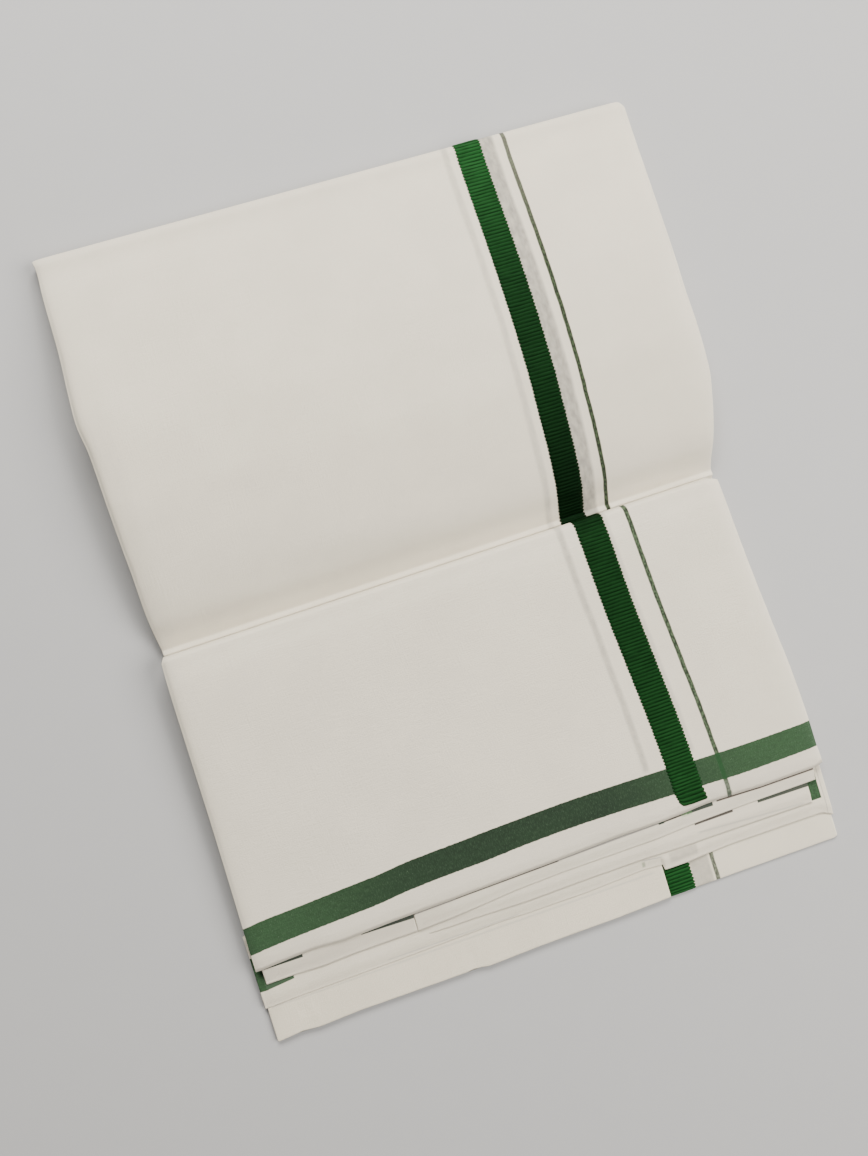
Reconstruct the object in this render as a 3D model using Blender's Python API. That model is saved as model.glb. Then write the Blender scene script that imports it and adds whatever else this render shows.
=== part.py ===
# A dhoti: one length of fine white cotton with ribbed border stripes and a cross band at each cut end.
# It is folded in four across and in eight along, was folded once more like a book, and lies opened again.
# The two halves rise from the crease between them, and the leaves end in steps at the near end.
# X runs across the pack, Y runs along it towards the far fold, and Z is up from the surface it lies on.
# Sizes are in millimetres. "Along" is measured from the crease, and "across" from the middle of the stripe.

import math
from collections import namedtuple

import bmesh
import bpy

MM = 0.001

# The cloth: a leaf is four plies, and neighbouring leaves keep a thin layer of air between them.
WALL = 1.2
SEAM = 0.3
FOLD_ROUND = 0.45

# The pack lies with the middle of its outline at the origin.
CREASE_X = -1.0
CREASE_Y = -4.0

# The border stripe has ribs across it, and its edges swell at each rib.
STRIPE_HALF = 7.1
STRIPE_SHOULDER = 0.7
RIB_PITCH = 1.92
RIB_HEIGHT = 0.35
RIB_SWELL = 0.25
RIB_STEPS = ((0.0, 0.0), (0.33, 1.0), (0.67, 1.0))

# The panel across its width, from the left fold to the right fold, before the edges pull it in or out.
LEFT_SPAN = 230.0
RIGHT_SPAN = 91.0
FROM_LEFT_FOLD = (3.0, 7.0, 15.0, 60.0, 110.0, 160.0, 205.0)
FROM_RIGHT_FOLD = (60.0, 38.0, 15.0, 7.0, 3.0)
LONGEST_FACE = 13.0
SHARPEST_TURN = math.radians(8)
ARC_STEPS = 24
CROWN_STEP = 2.0

# The far end is one rounded fold that wraps all the leaves.
FAR_FOLD = {"along": 206.0, "reach": 6.0, "height": 5.3, "half_height": 5.3, "start": math.radians(-69)}

# The near half starts with a rounded fold that stands over the crease.
CREASE_FOLD = {"along": 0.3, "reach": 4.5, "height": 11.0, "half_height": 5.6, "start": math.radians(-90)}
GUTTER_END = -1.0
CUT_END = -163.8

# The outline of the pack and the height of its top, a row for each section along it.
Section = namedtuple("Section", "along left right stripe crown")

FAR_HALF = (
    Section(212.0, -158.4, 160.2, 71.2, 10.6),
    Section(206.0, -159.2, 161.8, 71.0, 10.6),
    Section(190.0, -159.7, 161.0, 70.5, 13.6),
    Section(165.0, -159.9, 160.2, 70.1, 18.4),
    Section(140.0, -161.3, 159.7, 70.0, 22.2),
    Section(126.0, -161.9, 159.6, 69.9, 23.8),
    Section(108.0, -160.0, 159.4, 69.8, 25.0),
    Section(85.0, -159.4, 160.2, 69.7, 25.0),
    Section(60.0, -158.8, 160.8, 69.5, 22.4),
    Section(42.0, -158.3, 158.6, 69.5, 18.2),
    Section(24.0, -158.3, 155.3, 69.4, 11.4),
    Section(10.0, -157.2, 151.8, 68.8, 6.6),
    Section(0.0, -156.4, 150.9, 68.2, 4.6),
    Section(-4.0, -156.4, 150.9, 68.0, 4.6),
)

NEAR_HALF = (
    Section(4.8, -156.9, 143.5, 72.9, 16.6),
    Section(0.3, -158.0, 149.3, 73.1, 16.6),
    Section(-12.0, -158.3, 149.9, 73.6, 17.6),
    Section(-43.0, -158.5, 152.4, 75.5, 16.4),
    Section(-78.0, -158.7, 156.2, 78.9, 14.4),
    Section(-113.0, -159.2, 160.2, 82.4, 12.4),
    Section(-140.0, -159.7, 162.0, 84.4, 10.9),
    Section(-152.0, -160.0, 162.4, 85.1, 10.2),
    Section(-164.0, -160.2, 163.8, 85.7, 9.4),
    Section(-210.0, -160.8, 163.8, 85.7, 9.4),
)

# The sections run slightly askew: how far a section gains along the pack for each millimetre across.
Skew = namedtuple("Skew", "along slope")

SKEW = (
    Skew(212.0, 0.017),
    Skew(0.0, 0.018),
    Skew(-165.0, 0.012),
    Skew(-206.0, 0.0),
)

# The side folds sink: how much of its height the pack loses at a distance from its side edge.
Sink = namedtuple("Sink", "inside loss")

SINK = (
    Sink(0.0, 0.16),
    Sink(2.0, 0.08),
    Sink(6.0, 0.02),
    Sink(14.0, 0.0),
)

# Under the first cut end the leaves lie on each other, all at one pitch.
Pitch = namedtuple("Pitch", "along height")

PITCH = (
    Pitch(-146.0, 1.85),
    Pitch(-164.0, 1.62),
    Pitch(-176.0, 1.5),
    Pitch(-210.0, 1.5),
)
LEAF_START = -146.0
CORE_END = -145.6
SAG = 1.2
SAG_ACROSS = (61.5, 92.0)
SAG_ALONG = (-148.0, -166.0)

# The leaves that show past the first cut end: level from below, and the outline of each from left to right.
Edge = namedtuple("Edge", "x end")

SECOND_LEFT = (
    Edge(-157.2, -174.5),
    Edge(-143.0, -173.8),
    Edge(-110.0, -174.4),
    Edge(-75.8, -175.0),
)
SECOND_RIGHT = (
    Edge(-75.2, -174.2),
    Edge(-60.0, -174.0),
    Edge(-14.0, -172.6),
    Edge(60.0, -172.9),
    Edge(110.0, -173.2),
    Edge(156.8, -173.9),
)
THIRD = (
    Edge(-150.0, -172.8),
    Edge(-61.0, -172.8),
    Edge(-60.0, -181.5),
    Edge(0.0, -181.0),
    Edge(80.0, -182.5),
    Edge(152.0, -184.5),
)
FOURTH = (
    Edge(-160.6, -187.0),
    Edge(-144.0, -186.0),
    Edge(-89.0, -186.4),
    Edge(-53.0, -185.0),
    Edge(-17.0, -186.6),
    Edge(18.0, -189.0),
    Edge(50.0, -186.8),
    Edge(60.0, -187.3),
    Edge(61.0, -190.2),
    Edge(122.0, -190.5),
    Edge(157.8, -193.2),
)
FIFTH = (
    Edge(-161.0, -205.0),
    Edge(-148.0, -204.4),
    Edge(-58.0, -204.7),
    Edge(-46.0, -205.7),
    Edge(-15.0, -205.1),
    Edge(60.5, -205.8),
)
BOTTOM = (
    Edge(-160.6, -204.6),
    Edge(-60.0, -204.4),
    Edge(40.0, -205.4),
    Edge(118.0, -206.0),
    Edge(160.5, -206.2),
    Edge(162.9, -204.0),
)
BOTTOM_STRIPE = 67.8
BOTTOM_RIBS_FROM = -184.0
LEAF_ROWS = (-146.0, -155.0, -164.0, -170.0, -176.0, -182.0, -190.0, -198.0)
LEAF_COLUMNS = (-158.5, -154.5, -146.5, 61.0, 68.0, 77.0, 86.0, 92.0, 148.8, 156.8, 160.8)
LAST_ROW = 2.0

# The hidden layers: their folded edges make ridges along both sides.
CORE_SEAM = 0.7
LAYERS = 7
RIDGE_DEPTH = 1.1
RIDGE_INSET = 2.0
RIDGE_STAGGER = 0.45
WAVE_LENGTH = 47.0
CORE_FOOT = 3.0
CORE_COLUMNS = (0.0, 6.0, 16.0, 70.0, 140.0)
FAR_RINGS = (198, 188, 175, 160, 145, 130, 115, 100, 85, 70, 58, 48, 40, 32, 24, 17, 10, 4, GUTTER_END - 0.7)
NEAR_RINGS = (GUTTER_END - 1.0, -7, -14, -28, -44, -62, -80, -98, -116, -132, CORE_END)
CORE_NOSE = ((205.0, 0.0, 1.0), (207.0, 0.10, 0.93), (209.0, 0.36, 0.78))

WHITE = (0.69, 0.65, 0.60)
HIDDEN_WHITE = (0.62, 0.59, 0.54)
COTTON_ROUGHNESS = 0.85

for old in list(bpy.data.objects):
    bpy.data.objects.remove(old, do_unlink=True)

pack = bpy.data.collections.new("dhoti_cloth")
bpy.context.scene.collection.children.link(pack)


def between(rows, column, at):
    # A smooth reading of one column of a table at a place in its first column.
    rows = sorted(rows)
    keys = [row[0] for row in rows]
    values = [getattr(row, column) for row in rows]
    if at <= keys[0]:
        return values[0]
    if at >= keys[-1]:
        return values[-1]
    i = max(k for k in range(len(keys) - 1) if keys[k] <= at)
    span = keys[i + 1] - keys[i]

    def tangent(k):
        if k == 0 or k == len(keys) - 1:
            return 0.0
        before = (values[k] - values[k - 1]) / (keys[k] - keys[k - 1])
        after = (values[k + 1] - values[k]) / (keys[k + 1] - keys[k])
        return 0.0 if before * after <= 0 else 2 * before * after / (before + after)

    t = (at - keys[i]) / span
    return (
        values[i] * (2 * t**3 - 3 * t**2 + 1)
        + tangent(i) * span * (t**3 - 2 * t**2 + t)
        + values[i + 1] * (3 * t**2 - 2 * t**3)
        + tangent(i + 1) * span * (t**3 - t**2)
    )


def ramp(at, first, last):
    # 0 before the first place and 1 past the last, with a soft start and finish.
    t = min(1.0, max(0.0, (at - first) / (last - first)))
    return t * t * (3 - 2 * t)


def settle(x, along, half):
    # The share of its height that a point keeps near a side fold.
    inside = min(x - between(half, "left", along), between(half, "right", along) - x)
    return 1.0 - between(SINK, "loss", inside)


def sag(x, along):
    # Right of the short fifth leaf, the leaves above it sink towards the bottom leaf.
    return SAG * ramp(x, *SAG_ACROSS) * ramp(along, *SAG_ALONG)


def world(x, along, z):
    # A place in the pack as a place in the scene.
    y = along + between(SKEW, "slope", along) * x
    return ((x + CREASE_X) * MM, (y + CREASE_Y) * MM, z * MM)


class Profile:
    # A side view of a leaf: a line of places along the pack and heights, measured by its own length.
    def __init__(self, points):
        self.points = points
        self.lengths = [0.0]
        for a, b in zip(points, points[1:]):
            self.lengths.append(self.lengths[-1] + math.dist(a, b))
        self.length = self.lengths[-1]

    def at(self, t):
        # The place and the outward direction at a length along the line, carried on straight past its ends.
        i = max((k for k in range(len(self.points) - 1) if self.lengths[k] <= t), default=0)
        (a0, z0), (a1, z1) = self.points[i], self.points[i + 1]
        step = self.lengths[i + 1] - self.lengths[i]
        da, dz = (a1 - a0) / step, (z1 - z0) / step
        u = t - self.lengths[i]
        return a0 + da * u, z0 + dz * u, dz, -da

    def stops(self, longest, sharpest):
        # Lengths at which the line is cut: a new one wherever it has run far or turned much.
        found = [0.0]
        turned = 0.0
        heading = None
        for i, t in enumerate(self.lengths[:-1]):
            _, _, n0, n1 = self.at(t)
            angle = math.atan2(n1, n0)
            if heading is not None:
                turned += abs(math.remainder(angle - heading, math.tau))
            heading = angle
            far = t - found[-1] >= longest
            bent = turned >= sharpest and t > found[-1]
            if (far or bent) and self.length - t > 1.0:
                found.append(t)
                turned = 0.0
        return found + [self.length]


def arc(fold):
    # The rounded fold of a leaf, from underneath to its top.
    turn = math.radians(90) - fold["start"]
    angles = [fold["start"] + turn * i / ARC_STEPS for i in range(ARC_STEPS + 1)]
    return [
        (fold["along"] + fold["reach"] * math.cos(a), fold["height"] + fold["half_height"] * math.sin(a))
        for a in angles
    ]


def crown_line(half, first, last):
    # The top of the pack from one place along it to another.
    count = round(abs(last - first) / CROWN_STEP)
    places = [first + (last - first) * i / count for i in range(1, count + 1)]
    return [(a, between(half, "crown", a)) for a in places]


def ribbed_stops(first, last):
    # Where the ribs of the stripe are cut, and how high the cloth stands there.
    count = round((last - first) / RIB_PITCH)
    pitch = (last - first) / count
    return [
        (first + pitch * (i + part), height * RIB_HEIGHT)
        for i in range(count)
        for part, height in RIB_STEPS
    ]


def loft(bm, rail_a, rail_b):
    # Faces between two rails whose points may be unlike in number: each rail is a list of (length, vertex).
    i = j = 0
    while i < len(rail_a) - 1 or j < len(rail_b) - 1:
        step_a = rail_a[i + 1][0] if i < len(rail_a) - 1 else math.inf
        step_b = rail_b[j + 1][0] if j < len(rail_b) - 1 else math.inf
        a, b = rail_a[i][1], rail_b[j][1]
        if abs(step_a - step_b) < 1e-6:
            bm.faces.new((a, rail_a[i + 1][1], rail_b[j + 1][1], b))
            i += 1
            j += 1
        elif step_a < step_b:
            bm.faces.new((a, rail_a[i + 1][1], b))
            i += 1
        else:
            bm.faces.new((a, rail_b[j + 1][1], b))
            j += 1


def close_end(bm, outer, inner, left, right, middle):
    # The end of a leaf: a folded end has a row of points along its middle, pushed out.
    if middle:
        rows = (outer, middle, inner)
    else:
        rows = (outer, inner)
    for row_a, row_b in zip(rows, rows[1:]):
        for k in range(len(outer) - 1):
            bm.faces.new((row_a[k], row_a[k + 1], row_b[k + 1], row_b[k]))
    if middle:
        for corner, k in ((left, 0), (right, -1)):
            bm.faces.new((outer[k], middle[k], corner))
            bm.faces.new((middle[k], inner[k], corner))
    else:
        bm.faces.new((outer[0], inner[0], left))
        bm.faces.new((outer[-1], inner[-1], right))


def leaf(name, point, columns, plain, ribs=(), stripe=None, folded_end=False):
    # One leaf: rails along its outer and inner faces, a rounded side fold at each side, and closed ends.
    # point(across, length, depth, raised) places a point; depth runs from 0 outside to 1 inside.
    bm = bmesh.new()
    last = plain[-1]

    def rail(across, depth, ribbed=False, swell=0.0):
        # A ribbed rail has the ribs' own stops. At each rib it rises, or it swells aside at the stripe's edge.
        stops = [(0.0, 0.0), *ribs, (last, 0.0)] if ribbed else [(t, 0.0) for t in plain]
        found = []
        for t, height in stops:
            aside = swell * height / RIB_HEIGHT
            raised = 0.0 if swell else height
            found.append((t, bm.verts.new(world(*point(across + aside, t, depth, raised)))))
        return found

    outer_columns = [(across, False, 0.0) for across in columns]
    if stripe is not None:
        for side in (-1, 1):
            outer_columns.append((stripe + side * STRIPE_HALF, True, side * RIB_SWELL))
            outer_columns.append((stripe + side * (STRIPE_HALF - STRIPE_SHOULDER), True, 0.0))
    outer_columns.sort()

    outer = [rail(across, 0.0, ribbed, swell) for across, ribbed, swell in outer_columns]
    inner = [rail(across, 1.0) for across, _, _ in outer_columns]
    left = rail(columns[0] - FOLD_ROUND, 0.5)
    right = rail(columns[-1] + FOLD_ROUND, 0.5)

    rails = [*outer, right, *reversed(inner), left]
    for rail_a, rail_b in zip(rails, rails[1:] + rails[:1]):
        loft(bm, rail_a, rail_b)
    for end in (0, -1):
        middle = None
        if folded_end and end == -1:
            middle = [
                bm.verts.new(world(*point(across, last + FOLD_ROUND, 0.5, 0.0)))
                for across, _, _ in outer_columns
            ]
        close_end(
            bm,
            [r[end][1] for r in outer],
            [r[end][1] for r in inner],
            left[end][1],
            right[end][1],
            middle,
        )
    return finish(name, bm, WHITE)


def finish(name, bm, colour):
    # A closed mesh as a named object with its own cotton.
    bmesh.ops.recalc_face_normals(bm, faces=bm.faces)
    bmesh.ops.triangulate(bm, faces=bm.faces, quad_method="SHORT_EDGE")
    mesh = bpy.data.meshes.new(name)
    bm.to_mesh(mesh)
    bm.free()
    mesh.shade_smooth()
    mesh.set_sharp_from_angle(angle=math.radians(50))
    material = bpy.data.materials.new(name)
    material.use_nodes = True
    shader = material.node_tree.nodes["Principled BSDF"]
    shader.inputs["Base Color"].default_value = (*colour, 1.0)
    shader.inputs["Roughness"].default_value = COTTON_ROUGHNESS
    shader.inputs["Metallic"].default_value = 0.0
    mesh.materials.append(material)
    thing = bpy.data.objects.new(name, mesh)
    pack.objects.link(thing)
    return thing


def panel(name, half, line, first_rib, last_gap):
    # The top leaf of one half of the pack, which follows its outline and its crown.
    profile = Profile(line)

    def across_x(u, along):
        left = between(half, "left", along)
        right = between(half, "right", along)
        stripe = between(half, "stripe", along)
        if u < -STRIPE_HALF:
            share = (-u - STRIPE_HALF) / (LEFT_SPAN - STRIPE_HALF)
            return stripe - STRIPE_HALF + share * (left - stripe + STRIPE_HALF)
        if u > STRIPE_HALF:
            share = (u - STRIPE_HALF) / (RIGHT_SPAN - STRIPE_HALF)
            return stripe + STRIPE_HALF + share * (right - stripe - STRIPE_HALF)
        return stripe + u

    def point(u, t, depth, raised):
        along, z, n_along, n_z = profile.at(t)
        x = across_x(u, along)
        out = raised - depth * WALL
        keep = settle(x, along, half)
        low = sag(x, along)
        return x, along + n_along * out, (z + n_z * out - low) * keep

    columns = [-LEFT_SPAN + FOLD_ROUND]
    columns += [-LEFT_SPAN + inside for inside in FROM_LEFT_FOLD]
    columns += [RIGHT_SPAN - inside for inside in FROM_RIGHT_FOLD]
    columns.append(RIGHT_SPAN - FOLD_ROUND)
    plain = profile.stops(LONGEST_FACE, SHARPEST_TURN)
    ribs = ribbed_stops(first_rib, profile.length - last_gap)
    return leaf(name, point, columns, plain, ribs=ribs, stripe=0.0)


def upper_panel():
    # The top leaf of the far half, from the far fold down into the crease.
    line = arc(FAR_FOLD) + crown_line(FAR_HALF, FAR_FOLD["along"], GUTTER_END)
    return panel("upper_panel", FAR_HALF, line, first_rib=1.0, last_gap=3.5)


def lower_panel():
    # The top leaf of the near half, from the fold over the crease to the first cut end.
    line = arc(CREASE_FOLD) + crown_line(NEAR_HALF, CREASE_FOLD["along"], CUT_END)
    return panel("lower_panel", NEAR_HALF, line, first_rib=3.0, last_gap=1.5)


def stepped_leaf(name, level, outline, folded_end=False, stripe=None):
    # A leaf that reaches past the one above it. Its end follows its outline's rows.
    def end_at(x):
        rows = outline
        if x <= rows[0].x:
            return rows[0].end
        for a, b in zip(rows, rows[1:]):
            if x <= b.x:
                return a.end + (b.end - a.end) * (x - a.x) / (b.x - a.x)
        return rows[-1].end

    shallow = max(row.end for row in outline)
    deep = min(row.end for row in outline)
    plain = [LEAF_START - along for along in LEAF_ROWS if along > shallow + LAST_ROW]
    straight = plain[-1]
    length = LEAF_START - deep
    plain.append(length)

    def point(x, t, depth, raised):
        along = LEAF_START - t
        if t > straight:
            reach = LEAF_START - end_at(min(outline[-1].x, max(outline[0].x, x)))
            along = LEAF_START - straight - (reach - straight) * (t - straight) / (length - straight)
        pitch = between(PITCH, "height", along)
        top = (level + 1) * pitch - SEAM
        bottom = level * pitch
        low = sag(x, along) if level >= 2 else 0.0
        z = top + (bottom - top) * depth + raised
        return x, along, (z - low) * settle(x, along, NEAR_HALF)

    columns = [row.x for row in outline]
    columns += [
        x for x in LEAF_COLUMNS
        if outline[0].x < x < outline[-1].x and min(abs(x - row.x) for row in outline) > LAST_ROW
    ]
    if stripe is not None:
        columns = [x for x in columns if abs(x - stripe) > STRIPE_HALF + LAST_ROW]
    columns.sort()
    columns[0] += FOLD_ROUND
    columns[-1] -= FOLD_ROUND
    ribs = ()
    if stripe is not None:
        ribs = ribbed_stops(LEAF_START - BOTTOM_RIBS_FROM, length - 1.0)
    return leaf(name, point, columns, plain, ribs=ribs, stripe=stripe, folded_end=folded_end)


def hidden_layers():
    # The leaves between the top and the bottom, with their folds in ridges along both sides.
    bm = bmesh.new()

    def ring(half, along, low_share, high_share):
        left = between(half, "left", along)
        right = between(half, "right", along)
        rise = between(half, "crown", along + 1.0) - between(half, "crown", along - 1.0)
        top = between(half, "crown", along) - WALL * math.hypot(1.0, rise / 2.0) - CORE_SEAM
        low = top * low_share
        high = top * high_share
        places = []
        lefts = [left + RIDGE_INSET + RIDGE_DEPTH + inside for inside in CORE_COLUMNS]
        rights = [right - RIDGE_INSET - RIDGE_DEPTH - inside for inside in CORE_COLUMNS[:-1]]
        for x in lefts + rights[::-1]:
            places.append((x, high * settle(x, along, half)))
        for side, edge in ((1, right), (-1, left)):
            climb = []
            height = high * settle(edge - side * RIDGE_INSET, along, half) - low
            for k in range(2 * LAYERS - 1, 0, -1):
                z = low + height * k / (2 * LAYERS)
                wave = RIDGE_STAGGER * math.sin(2.4 * k + side + along / WAVE_LENGTH)
                inset = RIDGE_INSET + wave + (0.0 if k % 2 else RIDGE_DEPTH)
                climb.append((edge - side * inset, z))
            foot = (edge - side * (RIDGE_INSET + CORE_FOOT), low)
            if side == 1:
                places += [*climb, foot]
            else:
                places += [foot, *reversed(climb)]
        return [bm.verts.new(world(x, along, z)) for x, z in places]

    rings = [ring(FAR_HALF, *end) for end in reversed(CORE_NOSE)]
    rings += [ring(FAR_HALF, along, 0.0, 1.0) for along in FAR_RINGS]
    rings += [ring(NEAR_HALF, along, 0.0, 1.0) for along in NEAR_RINGS]
    for ring_a, ring_b in zip(rings, rings[1:]):
        for k in range(len(ring_a)):
            after = (k + 1) % len(ring_a)
            bm.faces.new((ring_a[k], ring_a[after], ring_b[after], ring_b[k]))
    bm.faces.new(rings[0])
    bm.faces.new(rings[-1])
    return finish("hidden_layers", bm, HIDDEN_WHITE)


hidden_layers()
upper_panel()
lower_panel()
stepped_leaf("second_leaf_left", 4, SECOND_LEFT)
stepped_leaf("second_leaf_right", 4, SECOND_RIGHT)
stepped_leaf("third_leaf", 3, THIRD)
stepped_leaf("fourth_leaf", 2, FOURTH)
stepped_leaf("fifth_leaf", 1, FIFTH, folded_end=True)
stepped_leaf("bottom_leaf", 0, BOTTOM, folded_end=True, stripe=BOTTOM_STRIPE)
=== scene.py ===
import math

import bmesh
import bpy
from mathutils import Matrix, Vector


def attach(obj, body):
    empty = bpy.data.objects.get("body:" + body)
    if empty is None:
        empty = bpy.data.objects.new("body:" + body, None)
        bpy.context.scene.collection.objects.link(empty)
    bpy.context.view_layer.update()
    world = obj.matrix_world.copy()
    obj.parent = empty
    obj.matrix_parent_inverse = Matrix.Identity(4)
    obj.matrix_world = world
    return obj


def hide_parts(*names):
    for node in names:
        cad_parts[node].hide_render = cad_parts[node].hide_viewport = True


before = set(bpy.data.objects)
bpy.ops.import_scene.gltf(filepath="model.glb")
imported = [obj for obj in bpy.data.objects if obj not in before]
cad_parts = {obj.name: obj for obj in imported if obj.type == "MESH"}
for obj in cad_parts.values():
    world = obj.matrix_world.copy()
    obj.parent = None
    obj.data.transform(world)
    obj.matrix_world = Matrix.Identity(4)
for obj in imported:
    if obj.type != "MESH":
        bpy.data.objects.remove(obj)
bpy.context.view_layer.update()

# A folded dhoti of fine white cotton with ribbed green border stripes and a green cross band.
# Tables are in millimetres: x across the pack, "along" from the crease between its two halves, z up.
mm = 0.001
creaseAt = (-1.0, -4.0)  # where the crease frame sits in the model
plyThickness = 0.22
sideRound = 0.6
weldWithin = 0.00001
print("frame loaded")


class Table:
    # Rows of named columns, read smoothly along the first one.
    def __init__(self, columns, *rows):
        self.columns = columns.split()
        self.rows = sorted(rows)
        self.keys = [row[0] for row in self.rows]

    def slopeAt(self, values, k):
        if k in (0, len(values) - 1):
            return 0.0
        before = (values[k] - values[k - 1]) / (self.keys[k] - self.keys[k - 1])
        after = (values[k + 1] - values[k]) / (self.keys[k + 1] - self.keys[k])
        return 0.0 if before * after <= 0 else 2 * before * after / (before + after)

    def find(self, column, place):
        # The column's values, the row before the place, the span to the next one, and the share of it.
        which = self.columns.index(column)
        place = min(max(place, self.keys[0]), self.keys[-1])
        i = max(k for k in range(len(self.keys) - 1) if self.keys[k] <= place)
        span = self.keys[i + 1] - self.keys[i]
        return [row[which] for row in self.rows], i, span, (place - self.keys[i]) / span

    def at(self, column, place):
        values, i, span, t = self.find(column, place)
        return (
            values[i] * (2 * t**3 - 3 * t**2 + 1)
            + self.slopeAt(values, i) * span * (t**3 - 2 * t**2 + t)
            + values[i + 1] * (3 * t**2 - 2 * t**3)
            + self.slopeAt(values, i + 1) * span * (t**3 - t**2)
        )

    def straight(self, column, place):
        # Straight lines between the rows, for cut edges.
        values, i, span, t = self.find(column, place)
        return values[i] + (values[i + 1] - values[i]) * t


farHalf = Table(
    "along left right stripe crown",
    (212, -159.9, 160.2, 71.2, 10.6),
    (206, -159.1, 161.8, 71, 10.6),
    (190, -159.7, 161, 70.5, 13.6),
    (165, -159.9, 160.2, 70.1, 18.4),
    (140, -161.3, 159.7, 70, 22.2),
    (126, -161.9, 159.6, 69.9, 23.8),
    (108, -160, 159.4, 69.8, 25),
    (85, -159.4, 160.2, 69.7, 25),
    (60, -158.8, 160.8, 69.5, 22.4),
    (42, -158.3, 158.6, 69.5, 19.4),
    (30, -158.3, 156.4, 69.4, 16.6),
    (20, -158, 154.3, 69.2, 12.8),
    (12, -157.5, 152.4, 68.9, 7.8),
    (8, -157.1, 151.8, 68.7, 5.5),
    (6.4, -156.9, 151.6, 68.6, 4.8),
    (0, -156.4, 150.9, 68.2, 4.6),
    (-4, -156.4, 150.9, 68, 4.6),
)
nearHalf = Table(
    "along left right stripe crown",
    (3.4, -156.9, 144.5, 72.9, 16.6),
    (0.3, -158, 149.3, 73.1, 16.6),
    (-12, -158.3, 149.9, 73.6, 17.6),
    (-43, -158.5, 152.4, 75.5, 16.4),
    (-78, -158.7, 156.2, 78.9, 14.4),
    (-113, -159.2, 160.2, 82.4, 12.4),
    (-140, -159.7, 162, 84.4, 10.9),
    (-152, -160, 162.4, 85.1, 10.2),
    (-164, -160.2, 163.8, 85.7, 9.4),
    (-210, -160.8, 163.8, 85.7, 9.4),
)
skew = Table("along slope", (212.0, 0.017), (0.0, 0.018), (-165.0, 0.012), (-206.0, 0.0))
sink = Table("inside loss", (0.0, 0.16), (2.0, 0.08), (6.0, 0.02), (14.0, 0.0))
pitch = Table("along height", (-146.0, 1.85), (-164.0, 1.62), (-176.0, 1.5), (-210.0, 1.5))
sagOfLeaves = {"depth": 1.2, "across": (61.5, 92.0), "along": (-148.0, -166.0)}


def ramp(at, first, last):
    # 0 before the first place and 1 past the last
    t = min(1.0, max(0.0, (at - first) / (last - first)))
    return t * t * (3 - 2 * t)


def settle(x, along, half):
    inside = min(x - half.at("left", along), half.at("right", along) - x)
    return 1.0 - sink.at("loss", inside)


def sag(x, along):
    return sagOfLeaves["depth"] * ramp(x, *sagOfLeaves["across"]) * ramp(along, *sagOfLeaves["along"])


def creaseHeight(creases, x, along):
    # Soft ridges and troughs that die out towards both ends.
    total = 0.0
    for x0, along0, x1, along1, width, height in creases:
        dx, dy = x1 - x0, along1 - along0
        t = ((x - x0) * dx + (along - along0) * dy) / (dx * dx + dy * dy)
        if -0.2 < t < 1.2:
            t = min(1.0, max(0.0, t))
            off = math.hypot(x - x0 - t * dx, along - along0 - t * dy)
            if off < 3 * width:
                fade = math.sin(math.pi * min(1.0, max(0.0, t * 0.9 + 0.05))) ** 0.6
                total += height * fade * math.exp(-((off / width) ** 2))
    return total


def drift(x, along, size, seed):
    # Slow, even unevenness, the same on every run.
    a, b = x / size + seed, along / size - 1.7 * seed
    return (
        math.sin(1.3 * a + 0.9 * math.sin(0.8 * b + seed))
        + math.sin(1.1 * b + 1.2 * math.sin(0.7 * a - seed))
        + 0.5 * math.sin(2.3 * a - 1.9 * b)
    ) / 2.5


def inModel(x, along, z):
    y = along + skew.at("slope", along) * x
    return Vector(((x + creaseAt[0]) * mm, (y + creaseAt[1]) * mm, z * mm))


class SideLine:
    # The side view of a panel: (along, height), measured by the line's own length.
    def __init__(self, points):
        self.points = points
        self.lengths = [0.0]
        for a, b in zip(points, points[1:]):
            self.lengths.append(self.lengths[-1] + math.dist(a, b))
        self.length = self.lengths[-1]

    def heading(self, i):
        i = max(0, min(len(self.points) - 2, i))
        (a0, z0), (a1, z1) = self.points[i], self.points[i + 1]
        return Vector((a1 - a0, z1 - z0)).normalized()

    def at(self, t):
        i = max((k for k in range(len(self.points) - 1) if self.lengths[k] <= t), default=0)
        share = (t - self.lengths[i]) / (self.lengths[i + 1] - self.lengths[i])
        (a0, z0), (a1, z1) = self.points[i], self.points[i + 1]
        ahead = self.heading(i + 1 if share > 0.5 else i - 1)
        way = self.heading(i).lerp(ahead, abs(share - 0.5)).normalized()
        return a0 + (a1 - a0) * share, z0 + (z1 - z0) * share, way.y, -way.x

    def stops(self, longest, sharpest):
        # A row wherever the line has run far or turned much.
        found = [0.0]
        turned = 0.0
        for i in range(1, len(self.points) - 1):
            turned += self.heading(i - 1).angle(self.heading(i))
            far = self.lengths[i] - found[-1] >= longest
            bent = turned >= sharpest
            if (far or bent) and self.length - self.lengths[i] > 0.4:
                found.append(self.lengths[i])
                turned = 0.0
        return found + [self.length]


def foldArc(fold):
    steps = 36
    turn = math.radians(90) - fold["start"]
    angles = [fold["start"] + turn * i / steps for i in range(steps + 1)]
    return [
        (fold["along"] + fold["reach"] * math.cos(a), fold["height"] + fold["halfHeight"] * math.sin(a))
        for a in angles
    ]


def crownLine(half, first, last, lift=None):
    count = round(abs(last - first) / 0.5)
    line = []
    for i in range(1, count + 1):
        along = first + (last - first) * i / count
        line.append((along, half.at("crown", along) + (lift(along) if lift else 0.0)))
    return line


def addObject(name, data):
    made = bpy.data.objects.new(name, data)
    bpy.context.scene.collection.objects.link(made)
    return made


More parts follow.
